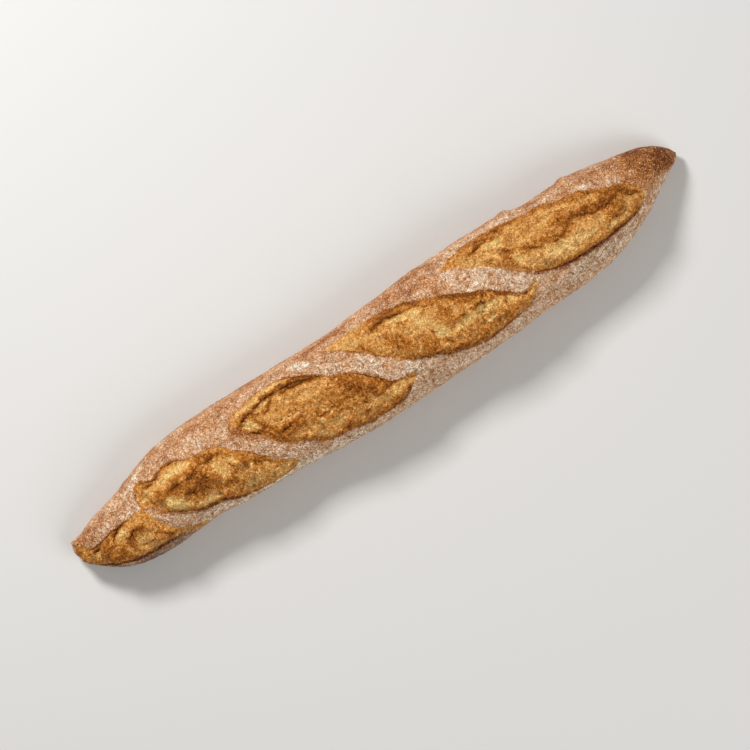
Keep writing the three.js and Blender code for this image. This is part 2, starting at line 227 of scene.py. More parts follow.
# The fourth slash.
FOURTH_SLASH = {
    "far": [
        (-29.5, 25), (-22, 26.4), (-12, 27.2), (0, 27), (10, 26.7), (20, 25.8), (30, 25), (37, 23),
        (43, 19.8), (50, 17), (57, 14.6), (64, 11.8), (72, 7.8), (80, 3.6), (88, -0.6), (95, -5.8),
        (101, -10.6), (106, -14.6), (111, -17.4), (117, -16.8), (124, -15.6),
    ],
    "near": [
        (-29, 24), (-22, 20), (-16, 16), (-10, 11), (-5, 6.4), (0, 2), (5, -3), (10, -8), (15, -12.4),
        (20, -15.4), (26, -18.4), (33, -21.4), (41, -24.6), (50, -28), (60, -31), (70, -32.8), (80, -32.4),
        (90, -31.2), (100, -30), (110, -28.4), (118, -24.6), (123, -18.5),
    ],
    "far_edge": [
        (-30, 0.1, 0.1, 0, 0), (0, 0.2, 0.1, 0.05, 0.05), (8, 0.4, 0.2, 0.2, 0.35),
        (20, 0.6, 0.2, 0.3, 0.45), (35, 0.6, 0.3, 0.4, 0.6), (45, 0.4, 0.3, 0.3, 0.4),
        (60, 0.2, 0.2, 0.1, 0.3), (78, 0.3, 0.3, 0.2, 0.4), (88, 0.5, 0.6, 0.5, 0.5),
        (105, 0.8, 1, 0.9, 0.4), (112, 0.5, 0.6, 0.8, 0), (124, 0.2, 0.2, 0.4, 0),
    ],
    "near_edge": [
        (-29, 0.2, 0.2, 0.2, 0), (-22, 0.5, 0.6, 0.8, 0.1), (-10, 0.6, 0.8, 0.9, 0.1),
        (3, 0.6, 0.8, 0.9, 0.15), (12, 0.4, 0.6, 0.5, 0.3), (22, 0.3, 0.6, 0.5, 0.6),
        (40, 0.3, 0.8, 0.55, 0.55), (60, 0.3, 0.9, 0.8, 0.55), (85, 0.3, 0.9, 0.8, 0.55),
        (100, 0.3, 0.7, 0.6, 0.4), (112, 0.1, 0.4, 0.3, 0.2), (123, 0, 0.2, 0.1, 0),
    ],
    "cracks": [
        (2.4, [
            (1, 19.4), (5, 18.8), (9, 19.6), (14, 20.4), (20, 20.4), (27, 19.2), (33, 17.6), (37, 16.6),
        ]),
        (1.2, [(36, 18.6), (41, 17), (46, 14.6)]),
        (1.1, [(42, 14), (48, 12.4), (54, 10.4)]),
        (1.2, [(57, -9.5), (62, -7.6), (66, -7), (70, -9.2), (75, -7.4), (81, -6.6), (87, -8), (93, -9)]),
        (1.2, [(23, 14), (26, 11), (27, 7)]),
        (1.1, [(38.5, 2), (41.5, -4), (44, -9)]),
        (0.9, [(45, -13), (49, -17), (53, -21), (57, -25)]),
        (0.9, [(86, -2.4), (93, -7), (100, -12), (106, -16), (111, -18.8)]),
        (0.9, [(20, -15.6), (30, -17.8), (40, -19.6), (48, -22.2), (55, -25.6)]),
        (1.2, [(35, -15.6), (38, -15.2)]),
        (0.9, [(15, 7), (19, 4.6), (23, 4)]),
    ],
    "patches": [
        (-15, 20, 14, 5, -20, 0.2, -0.15), (30, 14.6, 13, 3, -14, -1, -0.85), (33, 4, 8, 6, -60, 1.2, -0.3),
        (17, 1.5, 12, 5, -45, 0.9, 0.45), (40, -13, 11, 4, -30, 0.8, 0.35), (74, 4, 15, 5, -25, 1.2, 0.7),
        (60, 4, 7, 4, -20, 1.2, 0.15), (56, 0, 6, 4, -50, 0.6, 0.4), (70, -12, 15, 3, 0, -1.2, -0.85),
        (86, -12, 9, 3, 0, -1, -0.6), (103, -16.6, 6, 2.2, -20, -1.4, -0.45),
        (112, -19, 1.6, 1.2, 0, -1, 0.8), (48, -10, 4, 6, 20, -0.4, -0.7), (88, -23, 24, 3.4, 2, 1, 0.3),
        (55, -18, 6, 3, -30, 0.6, 0), (22, 23.4, 15, 2, -3, 0.2, 0.65), (40, 20.4, 7, 1.8, -30, 0.2, 0.7),
        (84, -23.4, 3, 2, 0, -0.4, 0.4), (62, -27.4, 20, 2, -10, 0.3, 0.5),
        (60, 11, 8, 2.4, -18, 0.3, 0.45), (12, 12, 8, 5, -30, 0.4, -0.1), (42, 1, 11, 5, -62, 0.5, -0.4),
        (116, -21, 6, 3, 10, 0.5, 0), (81, -19.6, 3, 1.4, 0, 0.4, -0.9),
    ],
    "fibre": 75,
}

# The fifth slash, at the right end.
FIFTH_SLASH = {
    "far": [
        (69.5, 27.5), (74, 28.6), (80, 31), (88, 32.6), (98, 33), (110, 32.4), (124, 31), (138, 28.8),
        (150, 27.4), (157, 26.8), (163, 24.4), (169, 23), (176, 22), (182, 20.4), (188, 18), (194, 14.8),
        (201, 12), (208, 9.8), (213, 7), (217, 3.4), (222, -1.6), (225, -5.6),
    ],
    "near": [
        (70, 26.5), (78, 24), (85, 20.4), (93, 14.6), (100, 10.8), (106, 5.6), (112, 0), (118, -5.4),
        (124, -10), (130, -13.4), (138, -16.6), (147, -19), (158, -20.2), (172, -20.4), (186, -19.8),
        (198, -18.4), (207, -16.6), (213, -15), (219, -12), (224, -8),
    ],
    "far_edge": [
        (69, 0.1, 0.1, 0, 0), (80, 0.3, 0.1, 0.1, 0.4), (110, 0.4, 0.2, 0.1, 0.55),
        (140, 0.4, 0.3, 0.3, 0.4), (157, 0.6, 0.4, 0.7, 0.4), (166, 0.5, 0.4, 0.5, 0.4),
        (182, 0.5, 0.5, 0.4, 0.4), (195, 0.4, 0.5, 0.3, 0.3), (208, 0.4, 0.6, 0.2, 0.2),
        (218, 0.5, 0.8, 0.6, 0.2), (225, 0.2, 0.3, 0.2, 0),
    ],
    "near_edge": [
        (70, 0.1, 0.2, 0, 0), (90, 0.2, 0.4, 0.1, 0), (105, 0.2, 0.5, 0.3, 0.1), (112, 0.3, 0.7, 0.8, 0.1),
        (122, 0.5, 0.9, 1.1, 0.1), (130, 0.9, 1.4, 1.6, 0.2), (150, 1.3, 2, 2, 0.3), (185, 1.3, 2, 2, 0.3),
        (200, 1, 1.6, 1.7, 0.4), (210, 0.4, 0.8, 0.8, 0.4), (220, 0.2, 0.4, 0.2, 0.1),
        (225, 0.1, 0.2, 0, 0),
    ],
    "cracks": [
        (1.8, [(90, 23.8), (97, 24.4), (103, 26.2), (109, 26), (116, 24.8), (123, 24.6)]),
        (1.2, [(125, 9.6), (130, 6.6), (137, 3.8), (143, 1.6)]),
        (1.2, [(146, 0), (152, 0), (158, 1.4), (162, 4.4), (167, 6.6)]),
        (1.3, [(169, 7.2), (174, 6), (178, 3.6), (184, 2.2), (190, 1.6), (197, 2), (205, 1.6)]),
        (1.2, [(205, 1.6), (211, 0), (217, -3), (221, -5)]),
        (1.2, [(205, 6), (211, 3), (216, 0), (221, -4.5)]),
        (0.9, [(182, 16.2), (188, 15), (194, 12.8)]),
        (0.8, [(158, 18), (163, 15.6), (166, 13)]),
        (0.8, [(188, -10), (193, -9.4), (199, -9.6), (204, -8.6)]),
        (0.9, [(113, 10), (117, 7), (120, 3.6)]),
        (0.8, [(140, 18), (147, 17), (153, 18.4)]),
    ],
    "patches": [
        (111, 22, 9, 2.6, -10, -1, -0.9), (115.5, 20, 1.8, 1.4, 0, -1.6, -0.2),
        (122, 4, 5, 3, -50, -1, -0.9), (140, -5, 16, 6, -10, 0.4, -0.3), (163, -7, 21, 6, -2, 0.8, -0.4),
        (185, -4, 5, 2.6, 0, -1, -0.5), (194, -12, 7, 2, 0, -1, -0.85), (216, -4, 5, 2, -30, -0.8, -0.4),
        (223, -7, 2.4, 2, 0, -0.4, -0.6), (166, 8.6, 17, 4, -8, 1.8, 0.4),
        (188, 5, 22, 2.8, -13, 0.8, 0.55), (197, -4.4, 9, 4, -5, 1.6, 0.45),
        (204, 8, 11, 3.4, -30, 0.8, 0.55), (150, 16, 22, 5, -8, 0.6, -0.2),
        (112, 29, 28, 2.2, -3, 0.4, 0.5), (170, 20, 20, 2.4, -20, 0.4, 0.4),
        (116, 12.6, 4, 2.6, -30, 0.3, 0.8), (208, -13, 9, 2.4, 14, 0.4, 0.35),
        (196, 3.6, 10, 2, 0, 0.6, 0.4), (92, 20, 11, 2.6, -38, 0.3, -0.35),
        (145, 4.4, 20, 2.2, -14, 0.8, 0.4), (190, 13, 3, 1.2, -10, 0.6, -0.5),
        (150, -15, 20, 2, -4, 0.4, 0.15), (104, 17, 8, 3, -40, 0.2, -0.3),
    ],
    "fibre": 5,
}

SLASHES = [FIRST_SLASH, SECOND_SLASH, THIRD_SLASH, FOURTH_SLASH, FIFTH_SLASH]

# White and brown patches of the skin: x, y, half length, half width, turn, flour (negative is browned).
SKIN_PATCHES = [
    (-50, 26, 9, 3.4, -25, 2.8), (-75, 30, 28, 4, -6, 0.5), (-198, 23, 13, 3.2, 25, 1.8),
    (-205, 7, 5, 4, 0, 0.7), (-190, 29, 8, 3, 30, 0.7), (48, 23, 14, 3, -10, 0.7), (71, 25, 3.5, 7, 0, 1.1),
    (165, 29, 16, 3, -10, 1.1), (187, 22, 9, 2.6, -28, 1), (120, 34, 20, 3, -4, 0.8),
    (213, 11, 4, 3, 0, 0.9), (224, 9, 3, 3, 0, 0.9), (-35, 12, 16, 8, -35, 0.9), (-8, 2, 13, 8, -40, 0.55),
    (-117, 9, 5, 7, -40, -0.6), (-122, 17, 4, 3, 0, 0.9), (88, 10, 9, 6, -35, 0.5),
    (106, -5, 14, 7, -40, 0.1), (-185, -15, 18, 6, -40, -0.05), (-92, -16, 17, 7, -40, -0.15),
    (16, -18, 9, 6, 0, 1), (234, 12, 22, 17, -25, -1.8), (252, 5, 12, 10, 0, -1), (-255, 8, 5, 7, 0, -0.8),
    (-243, 9, 9, 5, 22, -0.8), (-246, -12, 10, 4, -40, -0.4), (58, 34, 12, 4, 0, 0.5),
    (47, 31, 8, 4, 0, 0.5), (-145, 24, 9, 4, 0, 0.4), (-215, 19, 14, 3, 15, 0.3), (150, -27, 26, 5, 0, 0.4),
    (135, -27, 9, 5, 0, -0.5), (45, -37, 44, 6, 0, 0.55), (-40, 32, 14, 3.4, 0, -0.5),
    (2, 34, 10, 3, 0, -0.4), (20, 31, 8, 4, 0, 0.5), (-20, 32.5, 14, 4, 0, -1.2),
    (205, 25, 14, 3.4, -20, -0.6), (-232, 12, 16, 5, 24, -0.5), (15, 29, 8, 2, -10, 0.4),
    (-80, -34, 60, 6, 0, 1.5), (62, 17, 9, 3.4, -15, -0.35), (-116, 33, 6, 5, 0, -0.4),
    (190, -27, 24, 6, 12, 0.35), (85, 36, 20, 3, 0, 0.3), (-160, 32, 24, 5, 10, -0.2),
    (98, 3, 4, 5, 0, -0.4), (2, -8, 5, 4, 0, -0.5), (-110, 20, 7, 5, 30, -0.5), (232, -9, 10, 5, 35, 0.3),
    (-155, -27, 25, 4, -3, 0.8), (-60, 36, 60, 3, 0, -0.25), (-190, -3, 11, 2.6, -50, -1.4),
    (-108, 5, 12, 3.2, -50, -1.5), (80, 12, 7, 4, -40, -0.9), (-88, -13, 10, 4, -40, -0.4),
    (-40, -38, 16, 4, 0, 0.5),
]

# Small bumps of the outline: x, y, half length, half width, turn, height.
SKIN_BUMPS = [
    (131, 39, 5, 5, 0, 1.7), (179, 35, 4.5, 5, 0, 1.7), (-203, 27, 4, 3, 20, 0.8),
    (-257, 11, 3.5, 3.5, 0, 1.2), (-152, -30.5, 7, 4, 0, -0.9), (-135, -32, 7, 4, 0, 0.7),
    (-12, -41, 20, 5, 0, 0.3),
]

# Painted shade, greyish and dark, on places of the skin low on the near side: x, y, half length, half
# width, turn, share.
PAINTED_SHADE_PATCHES = [(-216, -31, 40, 15, -4, 1), (-240, -22, 14, 7, -38, 0.8)]

# Layers of smooth noise, each as (amount, size, seed): the skin's swells, its flour, the crumb's crags, and
# the fraying of its border with the skin.
SKIN_SWELLS = [(0.45, 36, 1), (0.3, 14, 2), (0.18, 5.5, 3), (0.16, 2.6, 4)]
FLOUR_DRIFTS = [(0.28, 26, 7), (0.25, 8, 8), (0.2, 3.6, 10)]
CRAGS = [(1, 6.5, 50), (0.6, 3.25, 51), (0.36, 1.625, 52)]
FRAYING = [(0.9, 2.3, 66), (0.5, 6, 67)]

# What varies along a slash or a crack, each as (middle, swing, size, seed).
LIP_VARIES = (0.8, 0.35, 4.5, 64)
SEAM_VARIES = (0.85, 0.4, 3, 65)
CRACK_VARIES = (0.75, 0.35, 2.6, 70)
CRACK_FADES = (0.8, 0.7, 7, 71)

BLISTER_HEIGHT = 0.6
NEAR_FLOUR = 0.38
FLOUR_FALL = 0.48  # from the near side to the far side
PATCH_FLOUR = 0.62  # how strongly the patches of the skin act on its flour

# The skin's fine folds: degrees from the loaf's length to the way across them, their sizes and height.
WRINKLE_TURN = 20
WRINKLE_SIZE = (3, 6)
WRINKLE_HEIGHT = 0.35

# The bloom's shape: how far it rises over the skin, and how far in from its edges.
BLOOM_RISE = 2.4
FAR_SLOPE = 9
NEAR_SLOPE = 6
END_SLOPE = 12

# How much each feature of the torn crumb lifts it, and how much it browns it. Near its edges it is calmer.
CRUMB_FEATURES = {
    "crags": (1.2, 0.15), "ridges": (0.45, 0.1), "strands": (0.5, 0.2), "walls": (0.4, 0.22),
    "pits": (-0.6, -0.34), "creases": (-0.8, 0), "grit": (0.2, 0), "stains": (0, 0.1),
}
CALM_MARGIN = 3.5
# How dark the painted shade in the creases is.
CREASE_PAINTED_SHADE = 0.5
HOLE_DEPTH = 2.2
HOLE_PALENESS = 0.3

# Beside a slash: how far out the raised crust fades on either side, how far its edge leans in for its
# height, how wide the browned rims of the crumb are, and how wide the seam is, thin or strong.
FAR_LIP_FADE = 5.5
NEAR_LIP_FADE = 3.2
LIP_LEAN = 0.55
LIP_LEAN_FADE = 1.4
FAR_RIM_WIDTH = 2.8
NEAR_RIM_WIDTH = 3.8
SEAM_WIDTH = 0.55
SEAM_SPREAD = 0.35

# Beside a crack, for its depth: the groove on its near side, and the curled edge that leans over it.
GROOVE_FADE = 2.2
CURL_HEIGHT = 0.4
CURL_FADE = 2.4
CURL_LEAN = 0.5
CURL_LEAN_FADE = 1.1
CRACK_TOAST = 0.9

# How finely the skin is divided: by a slash, on the rest of the top, and underneath.
FINE = 0.76
MEDIUM = 1.25
COARSE = 2.6
FINE_MARGIN = 5  # how far beside a slash the fine part reaches
TOP_SHARE = 0.68  # the top's share of the way round to the seam underneath
HONEYCOMB_ROW = 0.866  # from row to row of points, in spacings
SEAM_SPACING = COARSE * 0.8
JITTER = 0.2

# Rows of points that follow each outline and each crack, and how near to each other points may lie.
LIP_ROWS = (-1.4, -0.6, 0.5, 1.2)
CRACK_ROWS = (-0.9, -0.3, 0.3, 0.9)
ROW_CLEARANCE = 0.8  # share of its distance that a row keeps from the outline in tight corners
ROW_GAP = FINE * 0.33
FILL_GAP = FINE * 0.6

# Lines on the skin: how many points each has, and how far it waves and ripples to either side.
EDGE_POINTS = 170
EDGE_WAVES = (0.45, 0.25)
CRACK_POINTS = 100
CRACK_WAVES = (0.8, 0.5)
OUTLINE_POINTS = 480
WAVE_SIZE = 5
RIPPLE_SIZE = 1.9
STILL_SHARE = 0.07  # of a line, at each of its ends
SEEDS_PER_SLASH = 7

# How far beside them a slash and a crack still shape the skin.
SLASH_REACH = 30
CRACK_REACH = 9

# How far one seed's noise, or its scattered centres, lie from the next seed's.
NOISE_STEP = 31.7
CENTRES_STEP = 17.3

# The table that the skin is read from.
ROWS = 720
COLUMNS = 401
GIRTH_POINTS = 721
NOSE_ARC = 10  # length along the skin that stands for one radian of an end's rounding

# The skin's height fades out over these lengths, towards a tip and down to the underside.
TIP_FADE = 4
BASE_FADE = 6

# What the material reads from the mesh. The shade and dark paints are painted shade.
PAINTS = ("bloom", "toast", "line", "burn", "dark", "shade", "flour")


def smooth(x):
    x = np.clip(x, 0, 1)
    return x * x * (3 - 2 * x)


def bell(x):
    return np.exp(-x * x)


def unit(vectors):
    return vectors / np.maximum(np.linalg.norm(vectors, axis=-1, keepdims=True), 1e-9)


def turned(points, degrees):
    """How far points lie along a direction, given in degrees from the length, and across it."""
    turn = radians(degrees)
    along = points[:, 0] * np.cos(turn) + points[:, 1] * np.sin(turn)
    across = points[:, 1] * np.cos(turn) - points[:, 0] * np.sin(turn)
    return along, across


def at_least(values, index, least):
    values[index] = np.maximum(values[index], least)


def height_through(points, x):
    """Heights at x of a smooth curve through points with rising x, as in the solid."""
    px, py = np.array(points, float).T
    i = np.clip(np.searchsorted(px, x, side="right") - 1, 0, len(px) - 2)
    before, after = np.maximum(i - 1, 0), np.minimum(i + 2, len(px) - 1)
    step = px[i + 1] - px[i]
    start = (py[i + 1] - py[before]) / (px[i + 1] - px[before]) * step
    end = (py[after] - py[i]) / (px[after] - px[i]) * step
    t = np.clip((x - px[i]) / step, 0, 1)
    rise = py[i + 1] - py[i]
    return py[i] + t * (start + t * (3 * rise - 2 * start - end + t * (start + end - 2 * rise)))


def curve_through(points, count):
    """Evenly spaced points of a smooth curve through points."""
    p = np.array(points, float)
    t = np.linspace(0, len(p) - 1, count * 4)
    i = np.clip(t.astype(int), 0, len(p) - 2)
    w = (t - i)[:, None]
    p0, p1, p2, p3 = p[np.maximum(i - 1, 0)], p[i], p[i + 1], p[np.minimum(i + 2, len(p) - 1)]
    v0, v1 = (p2 - p0) / 2, (p3 - p1) / 2
    curve = (2 * p1 - 2 * p2 + v0 + v1) * w**3 + (3 * p2 - 3 * p1 - 2 * v0 - v1) * w**2 + v0 * w + p1
    return even_points(curve, count)


def even_points(line, count):
    run = np.concatenate([[0], np.cumsum(np.hypot(*np.diff(line, axis=0).T))])
    at = np.linspace(0, run[-1], count)
    return np.stack([np.interp(at, run, line[:, 0]), np.interp(at, run, line[:, 1])], 1)


def length_of(line):
    return np.hypot(*np.diff(line, axis=0).T).sum()


def noise(points, size, seed):
    """A smooth random field from -1 to 1 over points, with features of a size, or of one for each axis."""
    q = points / size + seed * NOISE_STEP
    cell = np.floor(q).astype(np.int64)
    f = q - cell
    w = f * f * f * (f * (6 * f - 15) + 10)
    total = np.zeros(len(points))
    for corner in np.ndindex(*(2,) * points.shape[1]):
        weight = np.prod(np.where(corner, w, 1 - w), axis=1)
        total += weight * (2 * chance(cell + corner, 0) - 1)
    return total


def chance(cell, seed):
    """A random number from 0 to 1 for each whole-numbered cell."""
    key = np.full(len(cell), seed * 951274213, np.int64)
    for axis, prime in zip(range(cell.shape[1]), (73856093, 19349663, 83492791)):
        key ^= cell[:, axis] * prime
    key = (key ^ (key >> 13)) * 1274126177 & 0x7FFFFFFF
    key = (key ^ (key >> 16)) * 668265263 & 0x7FFFFFFF
    return (key >> 8 & 0xFFFF) / 65535


def layered(points, layers):
    return sum(amount * noise(points, size, seed) for amount, size, seed in layers)


def varied(points, middle, swing, size, seed):
    return middle + swing * noise(points, size, seed)


def ridged(points, size, seed):
    """Noise folded into ridges: 1 along winding lines, and down to -1 between them."""
    return 1 - 2 * np.abs(noise(points, size, seed))


def drift(points, far, size, seed, axes=2):
    """A smooth random shift of points, up to far along each axis."""
    return far * np.stack([noise(points, size, seed + axis) for axis in range(axes)], 1)


def scattered_cells(points, size, seed):
    """How far each point is from the nearest and the next nearest of many scattered centres, in sizes."""
    q = points / size + seed * CENTRES_STEP
    cell = np.floor(q).astype(np.int64)
    first = np.full(len(points), 9.0)
    second = np.full(len(points), 9.0)
    for shift in np.ndindex(3, 3, 3):
        corner = cell + shift - (1, 1, 1)
        centre = corner + np.stack([chance(corner, axis + 1) for axis in range(3)], 1)
        gap = np.linalg.norm(centre - q, axis=1)
        second = np.minimum(second, np.maximum(first, gap))
        first = np.minimum(first, gap)
    return first, second


class Skin:
    """The loaf's skin, read at a run along it and a reach round it from the crown, both in millimetres."""

    def __init__(self):
        bend = NOSE_ARC * pi / 2
        straight = LENGTH - NOSE_LEFT - NOSE_RIGHT
        self.total = straight + 2 * bend
        self.run = np.linspace(0, self.total, ROWS)
        left = np.clip(self.run / NOSE_ARC, 0, pi / 2)
        right = np.clip((self.total - self.run) / NOSE_ARC, 0, pi / 2)
        x = NOSE_LEFT * (1 - np.cos(left)) + np.clip(self.run - bend, 0, straight)
        self.x = x + NOSE_RIGHT * np.cos(right) - LENGTH / 2
        y, z = self.sections((np.sin(left) * np.sin(right))[:, None])
        length = np.cumsum(np.hypot(np.diff(y, axis=1), np.diff(z, axis=1)), axis=1)
        length = np.hstack([np.zeros((ROWS, 1)), length])
        self.half_girth = length[:, -1] / 2
        self.reach = np.linspace(-1, 1, COLUMNS)
        self.table = np.empty((ROWS, COLUMNS, 3))
        for i in range(ROWS):
            at = (self.reach + 1) * self.half_girth[i]
            self.table[i, :, 0] = self.x[i]
            self.table[i, :, 1] = np.interp(at, length[i], y[i])
            self.table[i, :, 2] = np.interp(at, length[i], z[i])
        normal = np.cross(np.gradient(self.table, axis=0), np.gradient(self.table, axis=1))
        normal[0] = (-1, 0, 0)
        normal[-1] = (1, 0, 0)
        self.normal = unit(normal)

    def sections(self, rounding):
        """The outline of the loaf's section at each row, from the seam underneath over the crown."""
        far = height_through(FAR_EDGE, self.x)[:, None]
        near = height_through(NEAR_EDGE, self.x)[:, None]
        fullness = (far - near) / 2 / HALF_WIDTH
        top = CROWN_HEIGHT * fullness**CROWN_POWER
        bottom = TIP_LIFT * np.maximum(1 - fullness, 0) ** TIP_LIFT_POWER - BASE_SINK
        widest = bottom + WIDEST_LEVEL * (top - bottom)
        angle = np.linspace(-pi, pi, GIRTH_POINTS)[None, :]
        upper = np.cos(angle) > 0
        power = np.where(upper, TOP_ROUNDNESS, BASE_ROUNDNESS)
        across = np.sign(np.sin(angle)) * np.abs(np.sin(angle)) ** (2 / power)
        rise = np.abs(np.cos(angle)) ** (2 / power) * np.where(upper, top - widest, bottom - widest)
        y = (far + near) / 2 + (far - near) / 2 * rounding * across
        z = np.maximum(widest + rounding * rise, 0)
        return y, z

    def girth_at(self, run):
        return np.interp(run, self.run, self.half_girth)

    def read(self, table, points):
        """The table's values at points given as run and reach."""
        run, reach = points.T
        row = np.clip(run / self.total * (ROWS - 1), 0, ROWS - 1.001)
        share = reach / np.maximum(self.girth_at(run), 1e-6)
        column = np.clip((share + 1) / 2 * (COLUMNS - 1), 0, COLUMNS - 1.000001)
        i, j = row.astype(int), column.astype(int)
        a, b = (row - i)[:, None], (column - j)[:, None]
        low = table[i, j] * (1 - b) + table[i, j + 1] * b
        high = table[i + 1, j] * (1 - b) + table[i + 1, j + 1] * b
        return low * (1 - a) + high * a

    def under(self, plan):
        """The run and reach of points given in the plan, on the upper side."""
        plan = np.asarray(plan, float)
        run = np.interp(plan[:, 0], self.x, self.run)
        reach = np.empty(len(plan))
        for k, (at, y) in enumerate(zip(run, plan[:, 1])):
            i = int(round(at / self.total * (ROWS - 1)))
            level = self.table[i, :, 1]
            first, last = np.argmin(level), np.argmax(level)
            span = slice(first, last + 1)
            reach[k] = np.interp(y, level[span], self.reach[span] * self.half_girth[i])
        return np.stack([run, reach], 1)

    def middles(self, patches):
        return self.under([patch[:2] for patch in patches])


def tree_of(points):
    tree = kdtree.KDTree(len(points))
    for i, point in enumerate(points):
        tree.insert((point[0], point[1], 0), i)
    tree.balance()
    return tree


class Line:
    """A line of closely spaced points that others are measured from."""

    def __init__(self, points, closed=False):
        self.points = points
        self.closed = closed
        self.tree = tree_of(points)

    def measure(self, points):
        """Distance to the line, share along it, direction to its nearest place, and whether it is left."""
        count = len(self.points)
        nearest = np.array([self.tree.find((p[0], p[1], 0))[1] for p in points], int)
        best = np.full(len(points), 1e9)
        share, left, toward = np.zeros(len(points)), np.zeros(len(points), bool), np.zeros((len(points), 2))
        for before in (1, 0):
            i = nearest - before
            i = i % count if self.closed else np.clip(i, 0, count - 2)
            a, b = self.points[i], self.points[(i + 1) % count]
            step, away = b - a, points - a
            t = np.clip((away * step).sum(1) / np.maximum((step**2).sum(1), 1e-12), 0, 1)
            rest = away - step * t[:, None]
            gap = np.hypot(*rest.T)
            nearer = gap < best
            best = np.where(nearer, gap, best)
            share = np.where(nearer, (i + t) / (count - 1), share)
            left = np.where(nearer, step[:, 0] * away[:, 1] > step[:, 1] * away[:, 0], left)
            toward[nearer] = -rest[nearer] / np.maximum(gap[nearer], 1e-9)[:, None]
        return best, share, toward, left


def is_inside(points, loop):
    inside = ((points > loop.min(0)) & (points < loop.max(0))).all(1)
    x, y = points[inside][:, 0:1], points[inside][:, 1:2]
    a, b = loop, np.roll(loop, -1, axis=0)
    spans = (a[:, 1] > y) != (b[:, 1] > y)
    rise = np.where(b[:, 1] == a[:, 1], 1e-9, b[:, 1] - a[:, 1])
    cross = a[:, 0] + (y - a[:, 1]) / rise * (b[:, 0] - a[:, 0])
    inside[inside] = (spans & (x < cross)).sum(1) % 2 == 1
    return inside


class Slash:
    """One slash on the skin: its edges, closed outline, cracks and patches, in run and reach."""

    def __init__(self, skin, shape, number):
        self.shape = shape
        self.number = number
        seed = number * SEEDS_PER_SLASH
        far = wavy(skin.under(curve_through(shape["far"], EDGE_POINTS)), *EDGE_WAVES, seed + 1)
        near = wavy(skin.under(curve_through(shape["near"], EDGE_POINTS)), *EDGE_WAVES, seed + 2)
        self.far, self.near = Line(far), Line(near)
        self.loop = even_points(np.concatenate([far, near[::-1], far[:1]]), OUTLINE_POINTS)[:-1]
        self.outline = Line(self.loop, True)
        self.cracks = []
        for depth, points in shape["cracks"]:
            crack = wavy(skin.under(curve_through(points, CRACK_POINTS)), *CRACK_WAVES, seed + 5)
            self.cracks.append((depth, Line(crack)))
        self.patches = list(zip(skin.middles(shape["patches"]), shape["patches"]))
        self.length = np.hypot(*(far[-1] - far[0]))
        self.low = self.loop.min(0) - SLASH_REACH
        self.high = self.loop.max(0) + SLASH_REACH

    def nearby(self, points):
        return ((points > self.low) & (points < self.high)).all(1)

    def distance(self, points):
        """Distance to the outline, positive inside it, and the direction to its inside."""
        gap, _, toward, _ = self.outline.measure(points)
        sign = np.where(is_inside(points, self.loop), 1, -1)
        return gap * sign, -toward * sign[:, None]


def wavy(line, wave, ripple, seed):
    """The line with slow waves and short ripples, and its ends kept."""
    step = np.gradient(line, axis=0)
    out = unit(np.stack([-step[:, 1], step[:, 0]], 1))
    from_end = np.arange(len(line)) / len(line)
    taper = smooth(np.minimum(from_end, 1 - from_end) / STILL_SHARE)
    shift = wave * noise(line, WAVE_SIZE, seed) + ripple * noise(line, RIPPLE_SIZE, seed + 3)
    return line + out * (shift * taper)[:, None]


def rows_beside(line, offsets, closed):
    """The line moved sideways by each of the offsets."""
    step = np.roll(line, -1, axis=0) - np.roll(line, 1, axis=0) if closed else np.gradient(line, axis=0)
    out = unit(np.stack([step[:, 1], -step[:, 0]], 1))
    return [line + out * offset for offset in offsets]


def hex_points(skin, spacing, rng):
    """Points in honeycomb rows over the whole unrolled skin, each a little off its place."""
    widest = skin.half_girth.max()
    rows = np.arange(-widest, widest, spacing * HONEYCOMB_ROW)
    points = []
    for k, reach in enumerate(rows):
        run = np.arange(spacing * (0.5 + 0.5 * (k % 2)), skin.total, spacing)
        points.append(np.stack([run, np.full(len(run), reach)], 1))
    points = np.concatenate(points)
    return points + rng.uniform(-JITTER, JITTER, points.shape) * spacing


def outline_distance(slashes, points):
    """Distance to the nearest slash's outline, positive inside it."""
    nearest = np.full(len(points), -99.0)
    for slash in slashes:
        near = slash.nearby(points)
        nearest[near] = np.maximum(nearest[near], slash.distance(points[near])[0])
    return nearest


def mesh_points(skin, slashes):
    """Points over the unrolled skin, with edges that follow its seam and the slashes' outlines."""
    rng = np.random.default_rng(SEED)
    stations = np.linspace(0, skin.total, int(skin.total / SEAM_SPACING))
    girth = skin.girth_at(stations)
    upper = np.stack([stations, girth], 1)
    lower = np.stack([stations, -girth], 1)[1:-1][::-1]
    loops = [np.concatenate([upper, lower])]
    for slash in slashes:
        count = int(length_of(slash.loop) / FINE)
        loops.append(even_points(np.concatenate([slash.loop, slash.loop[:1]]), count)[:-1])
    edges = []
    for loop in loops:
        start = len(edges)
        edges += [(start + i, start + (i + 1) % len(loop)) for i in range(len(loop))]
    rows = thinned(np.concatenate(following_rows(slashes, loops[1:])), np.concatenate(loops), ROW_GAP)
    kept = np.concatenate(loops + [rows])
    fill = []
    for spacing in (FINE, MEDIUM, COARSE):
        points = hex_points(skin, spacing, rng)
        girth = skin.girth_at(points[:, 0])
        points = points[np.abs(points[:, 1]) < girth - 0.5 * spacing]
        level = np.full(len(points), 2)
        level[np.abs(points[:, 1]) < TOP_SHARE * skin.girth_at(points[:, 0])] = 1
        level[outline_distance(slashes, points) > -FINE_MARGIN] = 0
        fill.append(points[level == len(fill)])
    return np.concatenate([kept, thinned(np.concatenate(fill), kept, FILL_GAP)]), edges


